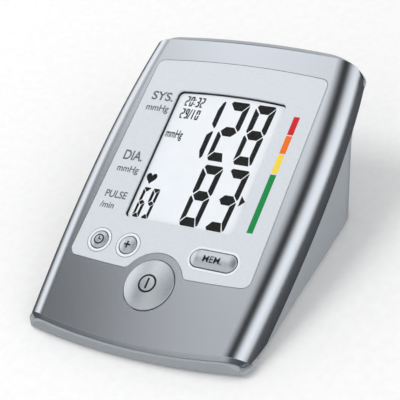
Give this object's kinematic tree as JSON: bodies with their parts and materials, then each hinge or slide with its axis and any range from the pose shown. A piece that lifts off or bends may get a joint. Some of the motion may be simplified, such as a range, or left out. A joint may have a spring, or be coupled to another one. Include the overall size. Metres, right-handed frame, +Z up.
{
  "type": "blood pressure monitor",
  "caption": "Desktop upper-arm blood pressure monitor: wedge case with a sloping face, large display, push buttons, air pump, valves and a battery bay with a hinged door.",
  "frame": {"origin": "on the table under the middle of the monitor", "axes": "+X to the right of a person who faces the display, +Y to the rear, +Z up"},
  "size_m": [0.1148, 0.1424, 0.0555],
  "materials": {
    "silver_paint": "satin silver paint on moulded ABS",
    "housing_abs": "fine texture on moulded ABS",
    "panel_print": "printed and hard-coated sheet",
    "button_paint": "satin silver paint on moulded ABS",
    "clear_pane": "polished clear PMMA",
    "lcd_glass": "display glass with polariser",
    "white_plastic": "moulded white plastic",
    "black_plastic": "moulded black plastic",
    "circuit_board": "solder mask on glass epoxy",
    "silicone": "extruded silicone",
    "dark_rubber": "matte moulded rubber",
    "zinc_steel": "zinc-plated steel",
    "nickel_steel": "nickel-plated spring steel",
    "cell_sleeve": "printed shrink sleeve"
  },
  "bodies": {
    "case": {"top_cover": "silver_paint", "lower_housing": "housing_abs", "fascia_panel": "panel_print", "display_window": "clear_pane", "lcd_glass": "lcd_glass", "lcd_reflector": "white_plastic", "lcd_frame": "black_plastic", "zebra_strip": "silicone", "start_switch": "black_plastic", "clock_switch": "black_plastic", "plus_switch": "black_plastic", "memory_switch": "black_plastic", "key_pcb": "circuit_board", "main_pcb": "circuit_board", "microcontroller": "black_plastic", "pressure_sensor": "black_plastic", "buzzer": "black_plastic", "contact_plate_front": "nickel_steel", "contact_plate_rear": "nickel_steel", "pump_motor": "zinc_steel", "pump_head": "black_plastic", "pump_bracket": "white_plastic", "air_manifold": "white_plastic", "release_valve": "zinc_steel", "leak_valve": "black_plastic", "cuff_socket": "black_plastic", "dc_jack": "black_plastic", "pump_tube": "silicone", "sensor_tube": "silicone", "cuff_tube": "silicone", "key_pcb_screw_1": "zinc_steel", "key_pcb_screw_2": "zinc_steel", "main_pcb_screw_1": "zinc_steel", "battery_cell_1": "cell_sleeve", "battery_spring_1": "nickel_steel", "main_pcb_screw_2": "zinc_steel", "battery_cell_2": "cell_sleeve", "battery_spring_2": "nickel_steel", "main_pcb_screw_3": "zinc_steel", "battery_cell_3": "cell_sleeve", "battery_spring_3": "nickel_steel", "main_pcb_screw_4": "zinc_steel", "battery_cell_4": "cell_sleeve", "battery_spring_4": "nickel_steel", "foot_front_left": "dark_rubber", "case_screw_front_left": "zinc_steel", "foot_front_right": "dark_rubber", "case_screw_front_right": "zinc_steel", "foot_rear_left": "dark_rubber", "case_screw_rear_left": "zinc_steel", "foot_rear_right": "dark_rubber", "case_screw_rear_right": "zinc_steel"},
    "battery_door": {"battery_door": "housing_abs"},
    "start_button": {"start_button": "button_paint"},
    "clock_button": {"clock_button": "button_paint"},
    "plus_button": {"plus_button": "button_paint"},
    "memory_button": {"memory_button": "button_paint"}
  },
  "joints": [
    {"name": "start_press", "type": "slide", "parent": "case", "child": "start_button", "axis": [0, 0.3256, -0.9455], "range_m": [0, 0.001], "stiffness_N_per_m": 900, "springref_m": -0.0005},
    {"name": "clock_press", "type": "slide", "parent": "case", "child": "clock_button", "axis": [0, 0.3256, -0.9455], "range_m": [0, 0.001], "stiffness_N_per_m": 700, "springref_m": -0.0005},
    {"name": "plus_press", "type": "slide", "parent": "case", "child": "plus_button", "axis": [0, 0.3256, -0.9455], "range_m": [0, 0.001], "stiffness_N_per_m": 700, "springref_m": -0.0005},
    {"name": "memory_press", "type": "slide", "parent": "case", "child": "memory_button", "axis": [0, 0.3256, -0.9455], "range_m": [0, 0.001], "stiffness_N_per_m": 800, "springref_m": -0.0005},
    {"name": "door_hinge", "type": "hinge", "parent": "case", "child": "battery_door", "pos_m": [-0.004, -0.02228, 0.0016], "axis": [-1, 0, 0], "range_deg": [0, 85]}
  ]
}
